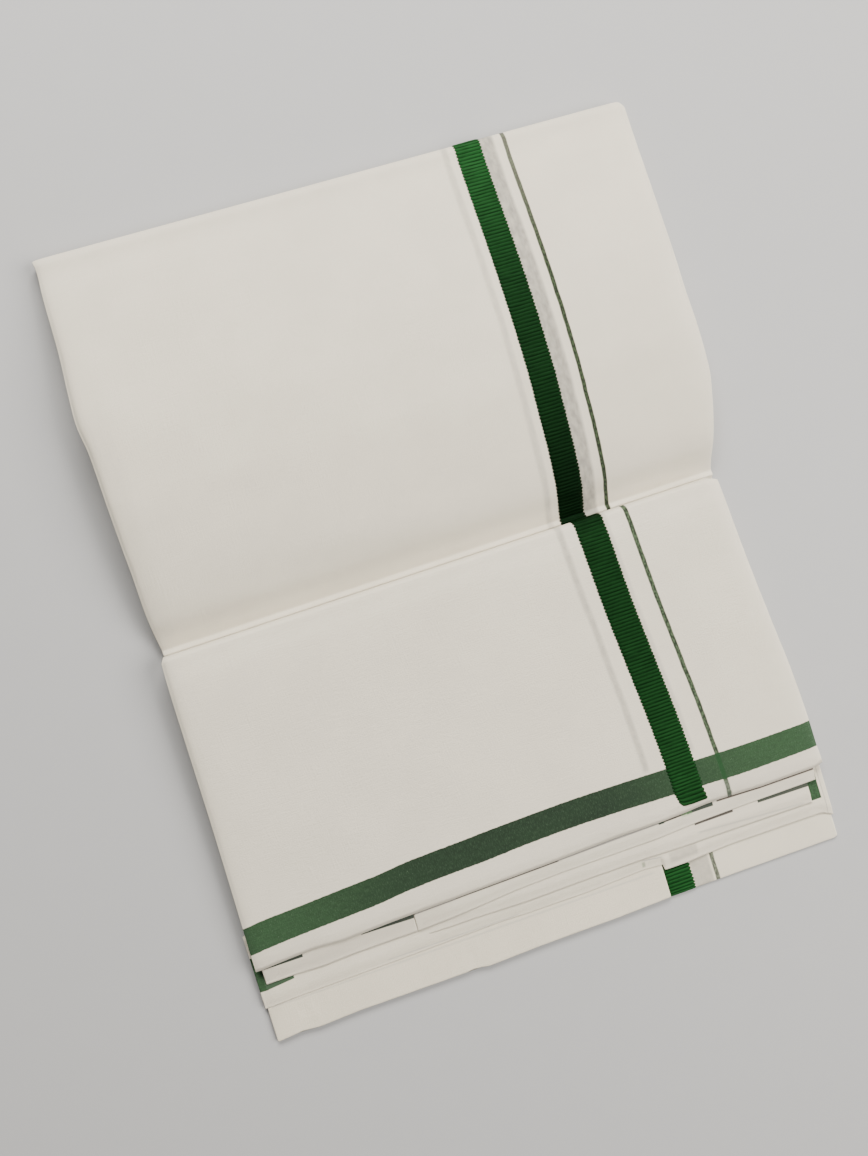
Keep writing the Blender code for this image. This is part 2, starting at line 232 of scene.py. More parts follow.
def gridShape(columns, rows):
    # A grid to be shaped, and the column and row of each vertex.
    bm = bmesh.new()
    bmesh.ops.create_grid(bm, x_segments=columns - 1, y_segments=rows - 1, size=1.0)
    low = min(v.co.x for v in bm.verts)
    wide = max(v.co.x for v in bm.verts) - low
    placed = {
        v: (round((v.co.x - low) / wide * (columns - 1)), round((v.co.y - low) / wide * (rows - 1)))
        for v in bm.verts
    }
    return bm, placed


def markSurface(bm, placed, marks):
    # Each mark is a UV map, with its place for a column and a row.
    for name, read in marks.items():
        layer = bm.loops.layers.uv.new(name)
        known = {v: read(*spot) for v, spot in placed.items()}
        for face in bm.faces:
            for loop in face.loops:
                loop[layer].uv = known[loop.vert]


def makePiece(name, bm, finish, node, thickness=0.0):
    mesh = bpy.data.meshes.new(name)
    bm.to_mesh(mesh)
    bm.free()
    mesh.shade_smooth()
    mesh.materials.append(finish)
    piece = addObject(name, mesh)
    if thickness:
        shell = piece.modifiers.new("ply", "SOLIDIFY")
        shell.thickness = thickness * mm
        shell.offset = -1.0
        shell.use_rim = True
    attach(piece, "root")
    return piece


def turnOutwards(bm):
    # The highest face has to look up.
    bm.normal_update()
    top = max(bm.faces, key=lambda face: face.calc_center_median().z)
    if top.normal.z <= 0:
        bmesh.ops.reverse_faces(bm, faces=bm.faces)


def spread(first, last, step, edges, extra=()):
    # Columns across a leaf: fine near both side folds, even between.
    inner = [first + inside for inside in edges] + [last - inside for inside in edges]
    start, stop = first + edges[-1], last - edges[-1]
    count = max(1, round((stop - start) / step))
    inner += [start + (stop - start) * i / count for i in range(1, count)]
    inner = [x for x in inner if all(abs(x - y) > 0.3 for y in extra)]
    return sorted([first, last, *inner, *(x for x in extra if first < x < last)])


def wrapLoop(columns):
    # Once round a leaf: over its top, round the right fold, back underneath, round the left fold.
    # Each stop is (across, depth, aside): depth 0 is the top, 1 is the underside.
    turns = [math.radians(a) for a in (60, 30, 0, -30, -60)]
    below = [x for i, x in enumerate(columns) if i % 3 == 0 or i == len(columns) - 1]
    loop = [(x, 0.0, 0.0) for x in columns]
    loop += [(columns[-1], (1 - math.sin(a)) / 2, math.cos(a)) for a in turns]
    loop += [(x, 1.0, 0.0) for x in reversed(below)]
    loop += [(columns[0], (1 + math.sin(a)) / 2, -math.cos(a)) for a in turns]
    return loop + [loop[0]]


def wrapLeaf(name, columns, rows, place, marks, finish, node):
    # One leaf as a flat tube of a single ply: its cut ends show a ply on a ply.
    loop = wrapLoop(columns)
    bm, placed = gridShape(len(loop), len(rows))
    markSurface(
        bm, placed,
        {key: (lambda i, j, read=read: read(loop[i], rows[j])) for key, read in marks.items()},
    )
    for vert, (i, j) in placed.items():
        vert.co = place(loop[i], rows[j])
    bmesh.ops.remove_doubles(bm, verts=bm.verts, dist=weldWithin)
    turnOutwards(bm)
    return makePiece(name, bm, finish, node, thickness=plyThickness)


class Wire:
    # A shader socket that Python maths can be written on.
    def __init__(self, finish, socket):
        self.finish = finish
        self.socket = socket

    def step(self, operation, *others):
        return self.finish.node("ShaderNodeMath", {"operation": operation}, [self, *others])

    def __add__(self, other):
        return self.step("ADD", other)

    def __sub__(self, other):
        return self.step("SUBTRACT", other)

    def __mul__(self, other):
        return self.step("MULTIPLY", other)

    def __truediv__(self, other):
        return self.step("DIVIDE", other)

    def __rsub__(self, other):
        return self.finish.node("ShaderNodeMath", {"operation": "SUBTRACT"}, [other, self])

    def __abs__(self):
        return self.step("ABSOLUTE")

    __radd__ = __add__
    __rmul__ = __mul__

    def rise(self, low, high):
        # 0 at low and 1 at high, smoothly.
        return self.finish.node(
            "ShaderNodeMapRange", {"interpolation_type": "SMOOTHSTEP"}, [self, low, high, 0.0, 1.0]
        )

    def line(self, middle, half, soft):
        # 1 within half of the middle, and 0 past the soft edge.
        return 1.0 - abs(self - middle).rise(half - soft, half + soft)

    def span(self, low, high, soft):
        return self.rise(low - soft, low + soft) * (1.0 - self.rise(high - soft, high + soft))


class Finish:
    # A material, built from its Principled shader backwards.
    def __init__(self, name, **constants):
        self.material = bpy.data.materials.new(name)
        self.material.use_nodes = True
        self.tree = self.material.node_tree
        self.shader = self.tree.nodes["Principled BSDF"]
        for socket, value in constants.items():
            self.shader.inputs[socket.replace("_", " ")].default_value = value

    def feed(self, socket, value):
        if isinstance(value, Wire):
            self.tree.links.new(value.socket, socket)
        else:
            socket.default_value = value

    def node(self, kind, settings=None, inputs=(), output=0):
        made = self.tree.nodes.new(kind)
        for key, value in (settings or {}).items():
            setattr(made, key, value)
        pairs = inputs.items() if isinstance(inputs, dict) else enumerate(inputs)
        for place, value in pairs:
            self.feed(made.inputs[place], value)
        return Wire(self, made.outputs[output])

    def mix(self, share, first, second):
        return self.node("ShaderNodeMix", {"data_type": "RGBA"}, {0: share, 6: first, 7: second}, output=2)

    def readMap(self, uvMap):
        # The two coordinates of a UV map, and the map itself.
        uv = self.node("ShaderNodeUVMap", {"uv_map": uvMap})
        first = self.node("ShaderNodeSeparateXYZ", {}, [uv])
        return first, Wire(self, first.socket.node.outputs[1]), uv

    def readWeave(self):
        # u runs across the cloth and v along it, in millimetres.
        u, v, self.uv = self.readMap("weave")
        self.u, self.v = u * 1000.0, v * 1000.0

    def noise(self, scale, stretch=(1.0, 1.0), detail=3.0, roughness=0.5):
        turned = self.node(
            "ShaderNodeMapping", {},
            {"Vector": self.uv, "Scale": (scale * stretch[0], scale * stretch[1], 1.0)},
        )
        return self.node(
            "ShaderNodeTexNoise", {"noise_dimensions": "2D"},
            {"Vector": turned, "Scale": 1.0, "Detail": detail, "Roughness": roughness},
        )

    def bump(self, height, distance, strength=1.0, under=None):
        inputs = {"Strength": strength, "Distance": distance, "Height": height}
        if under is not None:
            inputs["Normal"] = under
        return self.node("ShaderNodeBump", {}, inputs)

    def done(self, colour, normal):
        self.feed(self.shader.inputs["Base Color"], colour)
        self.feed(self.shader.inputs["Normal"], normal)
        return self.material


weave = {
    "threadPitch": 0.42,  # mm from thread to thread
    "threadDepth": 0.00006,
    "slubLength": 22.0,  # times as long as it is wide
    "slubDepth": 0.00005,
    "slubTone": 0.78,
    "white": (0.778, 0.716, 0.592),
    "mottle": 0.022,
    "fuzzTone": 0.86,
    "roughness": 0.86,
    "sheen": 0.12,
    "sheenRoughness": 0.45,
    "specular": 0.28,
}
greens = {
    # deep is the dark green of the silk's painted shade, in its rib valleys and along the gutter; it also
    # darkens the silk's worn patches
    "deep": (0.001, 0.007, 0.0015, 1.0),
    "silk": (0.009, 0.056, 0.013, 1.0),
    "sheen": (0.25, 0.65, 0.3, 1.0),
    "bandDark": (0.0085, 0.021, 0.0095, 1.0),
    "bandLight": (0.029, 0.078, 0.03, 1.0),
}


def shade(colour, times):
    return tuple(min(1.0, part * times) for part in colour[:3]) + (1.0,)


def cottonBase(name, tint=(1.0, 1.0, 1.0)):
    # Plain fine cotton: its threads, a few slubs and a faint mottling.
    cloth = Finish(
        name, Roughness=weave["roughness"], Sheen_Weight=weave["sheen"],
        Sheen_Roughness=weave["sheenRoughness"], Specular_IOR_Level=weave["specular"],
    )
    cloth.readWeave()
    turn = math.tau / weave["threadPitch"]
    threads = (cloth.u * turn).step("SINE") * (cloth.v * turn).step("SINE")
    slub = weave["slubLength"]
    slubs = cloth.noise(60.0, (1.0, slub), 2.0) + cloth.noise(60.0, (slub, 1.0), 2.0)
    mottle = cloth.noise(26.0, detail=4.0, roughness=0.6)
    fuzz = cloth.noise(700.0, detail=2.0)
    white = tuple(part * extra for part, extra in zip(weave["white"], tint))
    colour = cloth.mix(
        mottle.rise(0.3, 0.7), shade(white, 1 - weave["mottle"]), shade(white, 1 + weave["mottle"])
    )
    colour = cloth.mix(0.05 * slubs, colour, shade(white, weave["slubTone"]))
    colour = cloth.mix(0.1 * fuzz, colour, shade(white, weave["fuzzTone"]))
    normal = cloth.bump(threads, weave["threadDepth"])
    normal = cloth.bump(slubs, weave["slubDepth"], under=normal)
    return cloth, colour, normal


def plainCotton(name, tint, marks=()):
    # The marks of the stepped leaves are in the pack's own millimetres.
    cloth, colour, normal = cottonBase(name, tint)
    for mark in marks:
        colour = mark(cloth, colour)
    return cloth.done(colour, normal)


thinLine = {
    "wander": 0.5,
    "soft": 0.25,
    "darkThread": 0.6,
    "lightThread": 1.9,
    "sheenUntil": 95.0,  # mm along the panel
}


def paintThinLine(cloth, colour, line):
    # Green and white threads cross in the thin line, so its edges and tone are broken.
    twist = cloth.noise(900.0, (1.0, 0.6), 1.0)
    wander = (cloth.noise(120.0, detail=1.0) - 0.5) * thinLine["wander"]
    mask = (cloth.u + wander).line(line["middle"], line["half"], thinLine["soft"])
    dark, light = shade(line["tone"], thinLine["darkThread"]), shade(line["tone"], thinLine["lightThread"])
    tone = cloth.mix(twist.rise(0.35, 0.65), dark, light)
    # painted sheen: the thin line is drawn paler towards the far end, a painted highlight
    paintedSheen = (1.0 - cloth.v.rise(0.0, thinLine["sheenUntil"])) * line.get("paintedSheen", 0.0)
    return cloth.mix(mask * line.get("strength", 1.0) * (1.0 - paintedSheen), colour, tone)


ghost = {
    "grey": (0.2, 0.192, 0.175, 1.0),
    "wander": 1.6,
    "plainShare": 0.5,
    "crinkledShare": 0.85,
    "soft": 1.2,
    "slantFrom": 75.0,
    "endFade": 4.0,
}


def paintGhost(cloth, colour, low, high, strength, slant, last):
    # The layer beneath shows through as a grey strip with uneven edges.
    wander = (cloth.noise(40.0, (1.0, 0.5), 2.0) - 0.5) * ghost["wander"]
    crinkled = cloth.noise(380.0, (1.0, 0.5), 3.0)
    aside = cloth.u + (cloth.v - ghost["slantFrom"]).step("MAXIMUM", 0.0) * slant
    mask = (aside + wander).span(low, high, ghost["soft"])
    mask = mask * (ghost["plainShare"] + ghost["crinkledShare"] * crinkled)
    mask = mask * (1.0 - cloth.v.rise(last - ghost["endFade"], last))
    return cloth.mix(mask * strength, colour, ghost["grey"])


def panelCotton(name, settings):
    cloth, colour, normal = cottonBase(name)
    for strip in settings["ghosts"]:
        colour = paintGhost(cloth, colour, *strip)
    colour = paintThinLine(cloth, colour, settings["line"])
    if "bandUpper" in settings:
        colour, normal = paintBand(cloth, colour, normal, settings["line"])
    return cloth.done(colour, normal)


band = {
    "ragged": 0.03,
    "soft": 0.012,
    "darkestAt": -10.0,
    "halfWidth": 150.0,
    "paleWarp": (0.095, 0.165, 0.09, 1.0),
    "speck": (0.2, 0.28, 0.19, 1.0),
    "rubbed": (0.42, 0.44, 0.36, 1.0),
    "knot": (0.07, 0.09, 0.06, 1.0),
    "weftDepth": 0.00008,
}


def paintBand(cloth, colour, normal, line):
    # The cross band: green weft over a white warp, with paler specks.
    x, across = cloth.readMap("border")[:2]
    ragged = (cloth.noise(500.0, detail=1.0) - 0.5) * band["ragged"]
    mask = (across + ragged).span(0.0, 1.0, band["soft"])
    lightEnds = (abs(x * 1000.0 - band["darkestAt"]) / band["halfWidth"]).rise(0.25, 1.0)
    broad = cloth.noise(30.0, (1.0, 2.0), 3.0)
    green = cloth.mix(lightEnds * 0.75 + broad * 0.25, greens["bandDark"], greens["bandLight"])
    warp = cloth.noise(2200.0, (1.0, 0.22), 1.0)
    weft = cloth.noise(1800.0, (0.12, 1.0), 1.0)
    green = cloth.mix(weft.rise(0.35, 0.7) * 0.25, green, shade(greens["bandDark"], 0.7))
    green = cloth.mix(warp.rise(0.5, 0.75) * 0.16, green, band["paleWarp"])
    specks = cloth.noise(1300.0, (1.0, 0.8), 1.0).rise(0.76, 0.84)
    green = cloth.mix(specks * 0.3, green, band["speck"])
    crossed = cloth.u.line(line["middle"], 1.25, 0.2)
    green = cloth.mix(crossed * 0.8, green, greens["silk"])
    # below the band the line is rubbed pale, and ends in a small knot
    rubbed = across.rise(1.02, 1.15) * cloth.u.line(line["middle"], 1.9, 0.3)
    colour = cloth.mix(rubbed * (0.4 * cloth.noise(700.0, detail=1.0)), colour, band["rubbed"])
    knot = cloth.u.line(line["middle"] + 0.5, 1.2, 0.5) * across.span(1.5, 1.62, 0.04)
    colour = cloth.mix(knot * 0.8, colour, band["knot"])
    normal = cloth.bump(weft, band["weftDepth"], strength=0.8, under=normal)
    return cloth.mix(mask, colour, green), normal


silk = {"roughness": 0.55, "specular": 0.12, "metallic": 0.25, "threadDepth": 0.00012}


def stripeSilk(name):
    # Silky green ribs with painted shade in the valleys between them, and fine threads along each rib.
    cloth = Finish(
        name, Roughness=silk["roughness"], Specular_IOR_Level=silk["specular"],
        Specular_Tint=greens["sheen"], Metallic=silk["metallic"],
    )
    cloth.readWeave()
    rib = cloth.readMap("border")[1]
    tone = cloth.readMap("tone")[0]
    # painted shade: the valleys between the ribs are darkened
    valleyShade = 1.0 - abs(rib.step("FRACT") - 0.5).rise(0.24, 0.48)
    threads = cloth.noise(900.0, (0.18, 2.2), 2.0)
    worn = cloth.noise(160.0, (0.5, 1.0), 2.0)
    colour = cloth.mix(valleyShade, greens["deep"], greens["silk"])
    colour = cloth.mix(threads.rise(0.3, 0.75) * 0.35, colour, shade(greens["silk"], 1.5))
    colour = cloth.mix(worn.rise(0.45, 0.8) * 0.25, colour, shade(greens["deep"], 1.2))
    # painted sheen and shade along the stripe: the tone map darkens the silk towards deep green where it
    # turns from the light
    colour = cloth.mix(tone, shade(greens["deep"], 0.35), colour)
    normal = cloth.bump(threads, silk["threadDepth"], strength=0.8)
    return cloth.done(colour, normal)


# The floor, the camera and the lights
stage = {
    "floorColour": (0.4, 0.4, 0.405, 1.0),
    "floorSize": 3.0,
    "floorDepth": 0.0002,  # just under the pack
    "sky": (0.98, 0.99, 1.0, 1.0),
    "skyStrength": 0.2,
}
photoView = {
    "place": (-0.09631, 0.00977, 0.5769),
    "forward": (0.14292, -0.02756, -0.98935),
    "up": (0.29549, 0.95521, 0.01608),
    "focalPixels": 1100.0,
    "imageHeight": 1156.0,
    "sensor": 36.0,
}
softLights = {
    "window": {
        "place": (0.1, 1.25, 1.05), "size": (1.2, 0.7), "power": 55.0, "colour": (1.0, 0.97, 0.91),
    },
    "ceiling": {
        "place": (0.95, -0.25, 1.1), "size": (1.2, 1.0), "power": 34.5, "colour": (1.0, 0.965, 0.9),
    },
}


def makeFloor():
    bm = bmesh.new()
    bmesh.ops.create_grid(bm, x_segments=1, y_segments=1, size=stage["floorSize"] / 2)
    mesh = bpy.data.meshes.new("floor")
    bm.to_mesh(mesh)
    bm.free()
    mesh.transform(Matrix.Translation((0.0, 0.0, -stage["floorDepth"])))
    paint = Finish("paleFloor", Roughness=0.7, Specular_IOR_Level=0.25)
    place = paint.node("ShaderNodeTexCoord", {}, output=3)
    grain = paint.node("ShaderNodeTexNoise", {}, {"Vector": place, "Scale": 60.0, "Detail": 4.0})
    colour = paint.mix(grain, shade(stage["floorColour"], 0.985), shade(stage["floorColour"], 1.015))
    mesh.materials.append(paint.done(colour, paint.bump(grain, 0.0002, strength=0.2)))
    floor = addObject("floor", mesh)


def makeCamera():
    data = bpy.data.cameras.new("photoCamera")
    data.sensor_width = photoView["sensor"]
    data.lens = photoView["focalPixels"] / photoView["imageHeight"] * photoView["sensor"]
    camera = addObject("photoCamera", data)
    back = -Vector(photoView["forward"]).normalized()
    right = Vector(photoView["up"]).cross(back).normalized()
    turn = Matrix((right, back.cross(right), back)).transposed()
    camera.matrix_world = Matrix.Translation(photoView["place"]) @ turn.to_4x4()
    bpy.context.scene.camera = camera


def makeLights():
    for name, light in softLights.items():
        data = bpy.data.lights.new(name, "AREA")
        data.shape = "RECTANGLE"
        data.size, data.size_y = light["size"]
        data.energy = light["power"]
        data.color = light["colour"]
        lamp = addObject(name, data)
        lamp.location = light["place"]
        lamp.rotation_euler = (-Vector(light["place"])).to_track_quat("-Z", "Y").to_euler()
    world = bpy.data.worlds.new("studio")
    world.use_nodes = True
    sky = world.node_tree.nodes["Background"]
    sky.inputs["Color"].default_value = stage["sky"]
    sky.inputs["Strength"].default_value = stage["skyStrength"]
    bpy.context.scene.world = world


makeFloor()
makeCamera()
makeLights()
print("floor, camera and lights")


# The two top panels
upper = {
    "fold": {"along": 206.0, "reach": 6.0, "height": 5.3, "halfHeight": 5.3, "start": math.radians(-69)},
    "end": -1.0,
    "rowStep": 2.4,
    "spineFrom": 6.4,  # the cloth turns up here towards the near half
    "spineTop": 3.7,
    "spineLift": 1.7,
    "creases": (
        # x, along, to x, to along, width, height
        (-152, 150, -154.5, 12, 4.5, -0.55),
        (-156, 128, -120, 118, 9, 0.25),
        (-130, 30, -40, 22, 8, -0.45),
        (-60, 34, 20, 24, 9, 0.3),
        (-10, 40, 55, 30, 10, -0.22),
        (100, 55, 155, 38, 9, -0.35),
        (62, 204, 61, 8, 1.2, -0.1),
        (-100, 190, -60, 60, 16, 0.18),
        (20, 195, 40, 80, 18, -0.16),
        (120, 196, 132, 90, 14, 0.16),
        (-159, 196, -128, 204, 6, -0.22),
    ),
    "unevenness": 0.16,
    # from, to, strength, slant, end
    "ghosts": ((6.3, 14.4, 0.7, 0.0, 300.0), (-14.4, -11.0, 0.33, 0.0, 300.0)),
    # the upper thin line carries a painted highlight towards its far end
    "line": {"middle": 20.4, "half": 1.15, "tone": (0.024, 0.036, 0.016, 1.0), "paintedSheen": 0.11},
}
lower = {
    "fold": {"along": 0.3, "reach": 3.1, "height": 11.0, "halfHeight": 5.6, "start": math.radians(-90)},
    "cutEnd": Table(
        "x y",
        (-160, -166.5), (-147, -165.6), (-128, -165), (-114, -166.2), (-88, -165.4),
        (-52, -165), (0, -164.3), (40, -163.3), (66, -163.6), (80, -163.4), (96, -162.6),
        (126, -163.9), (145, -163.9), (159, -164), (163, -163),
    ),
    "end": -163.8,
    "lastStraight": 14.0,  # the cut end's waves die out this far back
    "endDrop": 5.0,
    "endLoss": 0.95,
    "endThinning": 0.9,
    "rowStep": 2.0,
    "bandUpper": Table(
        "x y",
        (-160, -143), (-154, -142.1), (-148.7, -141.6), (-128.9, -140.9), (-108.9, -140),
        (-87.8, -139.1), (-68.8, -137.5), (-47.2, -136.9), (-25.4, -136.2), (-2.8, -135.7), (20.5, -135.4),
        (46.2, -135.8), (73.3, -136.5), (101.9, -137.6), (127.5, -138), (163, -137.8),
    ),
    "bandLower": Table(
        "x y",
        (-160.4, -157.4), (-152.8, -156.4), (-133.5, -155.3), (-113, -154.6), (-92.3, -153.9),
        (-73.9, -152.3), (-52.8, -151.5), (-30.5, -151.1), (-9.5, -150.1), (13.3, -149.7),
        (38.5, -150), (66, -151), (94, -152), (121.2, -153), (145.5, -152.8), (163, -152.6),
    ),
    "creases": (
        (-150, -10, -152, -120, 5, -0.25),
        (-110, -30, -104, -120, 14, 0.16),
        (-30, -20, -20, -110, 16, -0.16),
        (59, -8, 70, -132, 1.3, -0.16),
        (110, -20, 128, -120, 12, 0.16),
        (30, -60, 52, -128, 12, 0.14),
        (-159, -150, -156, -120, 5, 0.15),
        (60, -159, 84, -159.2, 1.2, 0.18),
    ),
    "unevenness": 0.14,
    "ghosts": ((7.0, 9.8, 0.3, 0.0, 150.0), (-18.8, -15.4, 0.46, 0.025, 152.0)),
    "line": {"middle": 21.1, "half": 1.25, "tone": (0.038, 0.057, 0.03, 1.0)},
}
panelForm = {
    "wall": 1.15,
    "columnStep": 3.0,
    "driftSize": 38.0,
    "calmEdge": 12.0,  # the unevenness dies out this far in
    "edgeColumns": (0.4, 1.0, 2.0, 3.5, 6.0, 9.0),
    "sharpestTurn": math.radians(7),
}
stripe = {
    "shoulder": 0.9,
    "ribPitch": 1.92,
    "ribHeight": 0.36,
    "ribPower": 0.75,  # below 1 the valleys are narrow
    "ribWander": 0.1,
    "swell": 0.65,
    "rowsPerRib": 8,
    "columns": 15,
    "columnPower": 0.8,  # below 1 the columns crowd at the sides
    "seat": 0.08,  # how far the valleys stand above the panel
    "sideDrop": 0.16,
    "cutReach": 7.0,
    "thickness": 0.25,
}


class Panel:
    # Where a top panel's surface is: x across, t the length along its side line.
    def __init__(self, settings, half, lift=None):
        fold = settings["fold"]
        self.settings = settings
        self.half = half
        self.line = SideLine(foldArc(fold) + crownLine(half, fold["along"], settings["end"], lift))
        self.known = {}

    def row(self, t):
        if t not in self.known:
            along, z, outAlong, outZ = self.line.at(t)
            self.known[t] = (
                along, z, outAlong, outZ,
                self.half.at("left", along), self.half.at("right", along), self.half.at("stripe", along),
            )
        return self.known[t]

    def surface(self, x, t, depth=0.0, raised=0.0):
        settings = self.settings
        along, z, outAlong, outZ, left, right = self.row(t)[:6]
        inside = min(x - left, right - x)
        uneven = settings["unevenness"] * drift(x, along, panelForm["driftSize"], 1.0)
        height = creaseHeight(settings["creases"], x, along)
        height += uneven * ramp(inside, 0.0, panelForm["calmEdge"])
        calm = max(0.0, outZ) ** 4
        wall, low = panelForm["wall"], 0.0
        if "cutEnd" in settings:
            end = self.line.points[-1][0]
            stretch = ramp(along, settings["lastStraight"] + end, end)
            wanted = settings["cutEnd"].straight("y", x) - skew.at("slope", along) * x
            along += (wanted - end) * stretch
            low = settings["endLoss"] * ramp(along, wanted + settings["endDrop"], wanted)
            wall -= low * settings["endThinning"]
            low += sag(x, along)
        out = raised + height * calm - depth * wall
        keep = 1.0 - sink.at("loss", inside)
        return inModel(x, along + outAlong * out, (z + outZ * out - low) * keep)

    def overStripe(self, aside, t, raised):
        return self.surface(self.row(t)[6] + aside, t, raised=raised)


def spineLift(along):
    rise = ramp(along, upper["spineFrom"], upper["spineTop"])
    return upper["spineLift"] * rise * (1.0 - ramp(along, upper["spineTop"], 2.0))


def makePanel(name, node, panel, finish, borderPlace=None):
    first, last = panel.row(panel.line.length / 2)[4:6]
    columns = spread(
        first + sideRound, last - sideRound, panelForm["columnStep"], panelForm["edgeColumns"]
    )
    shares = [(x - first) / (last - first) for x in columns]
    rows = panel.line.stops(panel.settings["rowStep"], panelForm["sharpestTurn"])

    def acrossAt(stop, t):
        left, right = panel.row(t)[4:6]
        return left + stop[0] * (right - left)

    def place(stop, t):
        spot = panel.surface(acrossAt(stop, t), t, depth=stop[1])
        return spot + Vector((stop[2] * sideRound * mm, 0.0, 0.0))

    def weaveMap(stop, t):
        return ((acrossAt(stop, t) - panel.row(t)[6]) * mm, t * mm)

    marks = {"weave": weaveMap}
    if borderPlace:
        def borderMap(stop, t):
            x = acrossAt(stop, t)
            return borderPlace(x, panel.surface(x, t))

        marks["border"] = borderMap
    return wrapLeaf(name, shares, rows, place, marks, finish, node)


def makeStripe(name, node, surface, first, last, finish, paintedShadeAt, half=7.35, shift=0.0, cutShape=None):
    # The ribbed stripe: surface(aside, t, raised) is a place over its panel.
    count = round((last - first) / stripe["ribPitch"])
    steps = count * stripe["rowsPerRib"]
    rows = [first + (last - first) * i / steps for i in range(steps + 1)]
    columns = [2.0 * i / (stripe["columns"] - 1) - 1.0 for i in range(stripe["columns"])]
    columns = [math.copysign(abs(c) ** stripe["columnPower"], c) for c in columns]
    bm, placed = gridShape(len(columns), len(rows))

    def phaseAt(t):
        return (t - first) / (last - first) * count

    def ribbed(c, t):
        # how high a rib stands here, uneven from rib to rib
        phase = phaseAt(t)
        phase += stripe["ribWander"] * math.sin(1.7 * c + 0.9 * phase) * (1 - abs(c))
        rib = math.floor(phase)
        uneven = 1.0 + 0.12 * math.sin(5.1 * rib) + 0.08 * math.sin(3.0 * c + 2.3 * rib)
        return abs(math.sin(math.pi * phase)) ** stripe["ribPower"] * uneven

    markSurface(bm, placed, {
        "weave": lambda i, j: (columns[i] * half * mm, rows[j] * mm),
        "border": lambda i, j: (columns[i], phaseAt(rows[j])),
        "tone": lambda i, j: (paintedShadeAt(rows[j]), 0.0),
    })
    for vert, (i, j) in placed.items():
        c, t = columns[i], rows[j]
        rib = ribbed(c, t)
        aside = shift + c * (half + stripe["swell"] * (rib - 0.5) * abs(c) ** 6)
        if cutShape:
            near = ramp(t, last - stripe["cutReach"], last)
            aside += near * cutShape.straight("flare", c)
            t += near * cutShape.straight("extra", c)
        edge = 1.0 - ramp(abs(c), 1.0 - 1.3 * stripe["shoulder"] / half, 1.0)
        raised = stripe["seat"] + stripe["ribHeight"] * rib * edge - stripe["sideDrop"] * (1.0 - edge)
        vert.co = surface(aside, t, raised)
    turnOutwards(bm)
    return makePiece(name, bm, finish, node, thickness=stripe["thickness"])


upperSurface = Panel(upper, farHalf, spineLift)
upperPanel = makePanel("upperPanel", "upper_panel", upperSurface, panelCotton("upperCotton", upper))
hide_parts("upper_panel")

lowerSurface = Panel(lower, nearHalf)


def bandPlace(x, spot):
    y = spot.y / mm - creaseAt[1]
    top = lower["bandUpper"].at("y", x)
    return (x * mm, (top - y) / (top - lower["bandLower"].at("y", x)))


lowerPanel = makePanel(
    "lowerPanel", "lower_panel", lowerSurface, panelCotton("lowerCotton", lower), borderPlace=bandPlace
)
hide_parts("lower_panel")
print("top panels")


# Painted sheen and shade on the silk along the pack: brightest at the far end, darkest in the gutter where
# its ribs turn from the light.
silkShadeFar = Table(
    "along tone",
    (212, 0.92), (200, 0.84), (180, 0.65), (160, 0.49), (140, 0.35), (120, 0.27), (80, 0.24),
    (60, 0.19), (45, 0.13), (30, 0.08), (12, 0.06), (-0.5, 0.06),
)
silkShadeNear = Table(
    "along tone",
    (4.8, 0.1), (0, 0.21), (-6, 0.31), (-45, 0.37), (-80, 0.41), (-120, 0.54), (-164, 0.64),
)
greenSilk = stripeSilk("ribbedSilk")
upperStripe = makeStripe(
    "upperStripe", "upper_panel", upperSurface.overStripe, 1.0, upperSurface.line.length - 3.0,
    greenSilk, lambda t: silkShadeFar.at("tone", upperSurface.row(t)[0]),
)
lowerStripe = makeStripe(
    "lowerStripe", "lower_panel", lowerSurface.overStripe, 3.0, lowerSurface.line.length - 4.6,
    greenSilk, lambda t: silkShadeNear.at("tone", lowerSurface.row(t)[0]), half=8.3, shift=-0.3,
    cutShape=Table(
        "side extra flare", (-1.0, -1.4, 1.0), (-0.72, 0.8, 0.6), (0.0, 1.5, 0.0), (1.0, 1.9, 0.7)
    ),
)
print("ribbed stripes")

